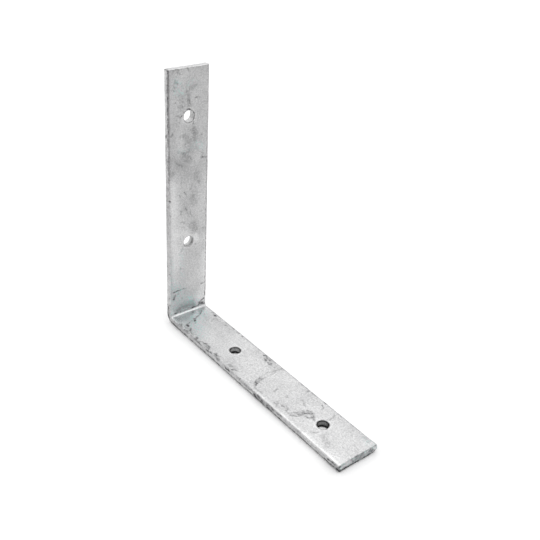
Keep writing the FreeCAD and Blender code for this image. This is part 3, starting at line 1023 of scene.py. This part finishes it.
FLOOR_SIZE = 6.0
FLOOR_DROP = 0.35 * MM
SHEET_WHITE = (0.87, 0.87, 0.87, 1)
DARK_ROOM = (0.18, 0.18, 0.18, 1)
PLAIN_WHITE = (1, 1, 1, 1)
STUDIO_FRONT = (0.762, -0.648, 0.0)
FRONT_EDGE = (120 * MM, 260 * MM)

# A little light under the bracket takes something off its shadow. There is more in the middle of
# the end hole, and it fades out over the last stretch of the foot.
SHADOW_LIGHT = 0.07
HOLE_LIGHT = 0.27
HOLE_LIGHT_EDGE = (4 * MM, 2 * MM)
LIGHT_FADE = 20 * MM


def smooth_rise(tree, value, start, end):
    """Return a smooth rise from 0, where the value is the start, to 1, where it is the end."""
    sockets = {"Value": value, "From Min": start, "From Max": end}
    return add_node(tree, "MapRange", sockets, interpolation_type="SMOOTHSTEP").outputs[0]


def dot_product(tree, place, direction):
    """Return how far a place lies in a direction."""
    sockets = {0: place, 1: direction}
    return add_node(tree, "VectorMath", sockets, operation="DOT_PRODUCT").outputs["Value"]


floor_mesh = bpy.data.meshes.new("floor")
corner = FLOOR_SIZE / 2
floor_mesh.from_pydata(
    [(x * corner, y * corner, -FLOOR_DROP) for x, y in ((-1, -1), (1, -1), (1, 1), (-1, 1))],
    [],
    [(0, 1, 2, 3)],
)
floor = bpy.data.objects.new("floor", floor_mesh)
bpy.context.scene.collection.objects.link(floor)

paper = bpy.data.materials.new("white_sheet")
paper.use_nodes = True
tree = paper.node_tree
sight = add_node(tree, "LightPath")
spot = add_node(tree, "TexCoord").outputs["Object"]
edge = smooth_rise(tree, dot_product(tree, spot, STUDIO_FRONT), *FRONT_EDGE)
mirrored_edge = product_of(tree, edge, sight.outputs["Is Glossy Ray"])
colour = blend_of(tree, mirrored_edge, SHEET_WHITE, DARK_ROOM)
colour = blend_of(tree, sight.outputs["Is Camera Ray"], colour, PLAIN_WHITE)
sheet_shader = tree.nodes["Principled BSDF"]
tree.links.new(colour, sheet_shader.inputs["Base Color"])
sheet_shader.inputs["Roughness"].default_value = 1.0
sheet_shader.inputs["Specular IOR Level"].default_value = 0.0

hole_spot = (high.x - hole_places[0], 0.0, -FLOOR_DROP)
from_spot = add_node(tree, "VectorMath", {0: spot, 1: hole_spot}, operation="DISTANCE")
under_hole = smooth_rise(tree, from_spot.outputs["Value"], *HOLE_LIGHT_EDGE)
spot_x = add_node(tree, "SeparateXYZ", {0: spot}).outputs["X"]
towards_end = smooth_rise(tree, spot_x, high.x - LIGHT_FADE, high.x)
glow = sum_of(tree, SHADOW_LIGHT, (under_hole, HOLE_LIGHT), (towards_end, -SHADOW_LIGHT))
haze = product_of(tree, sight.outputs["Is Camera Ray"], glow)
sheet_shader.inputs["Emission Color"].default_value = PLAIN_WHITE
tree.links.new(haze, sheet_shader.inputs["Emission Strength"])
floor_mesh.materials.append(paper)


# The light
# A soft white canopy overhead, dim near the horizon but for the wall behind, and a little dimmer
# towards the front, as in a studio. The picture's background is plain white.

CANOPY = 1.28
HORIZON = 0.15
BACK_WALL = 0.55
FRONT_DIMMING = 0.3

# Where the light changes, as parts of a unit direction that point upwards, back and to the front.
CANOPY_CLIMB = (0.03, 0.72)
BACK_WALL_TURN = (0.0, 0.6)
FRONT_TURN = (0.1, 0.9)

world = bpy.data.worlds.new("soft_canopy")
bpy.context.scene.world = world
world.use_nodes = True
tree = world.node_tree
direction = add_node(tree, "TexCoord").outputs["Generated"]
sides = add_node(tree, "SeparateXYZ", {0: direction})
climb = smooth_rise(tree, sides.outputs["Z"], *CANOPY_CLIMB)
back_share = smooth_rise(tree, sides.outputs["Y"], *BACK_WALL_TURN)
front_share = smooth_rise(tree, dot_product(tree, direction, STUDIO_FRONT), *FRONT_TURN)
horizon = sum_of(tree, HORIZON, (back_share, BACK_WALL))
strength = add_node(tree, "Mix", {0: climb, 2: horizon, 3: CANOPY}).outputs[0]
shade = sum_of(tree, 1.0, (front_share, -FRONT_DIMMING))
strength = sum_of(tree, 0.0, (strength, shade))
sight = add_node(tree, "LightPath").outputs["Is Camera Ray"]
strength = add_node(tree, "Mix", {0: sight, 2: strength, 3: 1.0}).outputs[0]
tree.links.new(strength, tree.nodes["Background"].inputs["Strength"])
tree.nodes["Background"].inputs["Color"].default_value = PLAIN_WHITE


# The camera
# It stands to the front right of the bracket and looks down on it, a little tilted. Its distance
# is from the point that it aims at.

AZIMUTH = math.radians(49.64)
ELEVATION = math.radians(30.43)
ROLL = math.radians(3.84)
DISTANCE = 0.3679
AIM = Vector((0.0018, 0.0, 0.0688))
FOCAL_LENGTH = 49.87
SENSOR_WIDTH = 36.0
NEAREST_SEEN = 0.01

back = Vector(
    (
        math.sin(AZIMUTH) * math.cos(ELEVATION),
        -math.cos(AZIMUTH) * math.cos(ELEVATION),
        math.sin(ELEVATION),
    )
)
right = (-back).cross(Vector((0, 0, 1))).normalized()
up = right.cross(-back)
camera_data = bpy.data.cameras.new("camera")
camera_data.lens = FOCAL_LENGTH
camera_data.sensor_width = SENSOR_WIDTH
camera_data.clip_start = NEAREST_SEEN
camera = bpy.data.objects.new("camera", camera_data)
side = math.cos(ROLL) * right + math.sin(ROLL) * up
top = -math.sin(ROLL) * right + math.cos(ROLL) * up
turn = Matrix((side, top, back)).transposed()
camera.matrix_world = Matrix.Translation(AIM + back * DISTANCE) @ turn.to_4x4()
bpy.context.scene.collection.objects.link(camera)
bpy.context.scene.camera = camera
bpy.context.scene.view_settings.view_transform = "Standard"
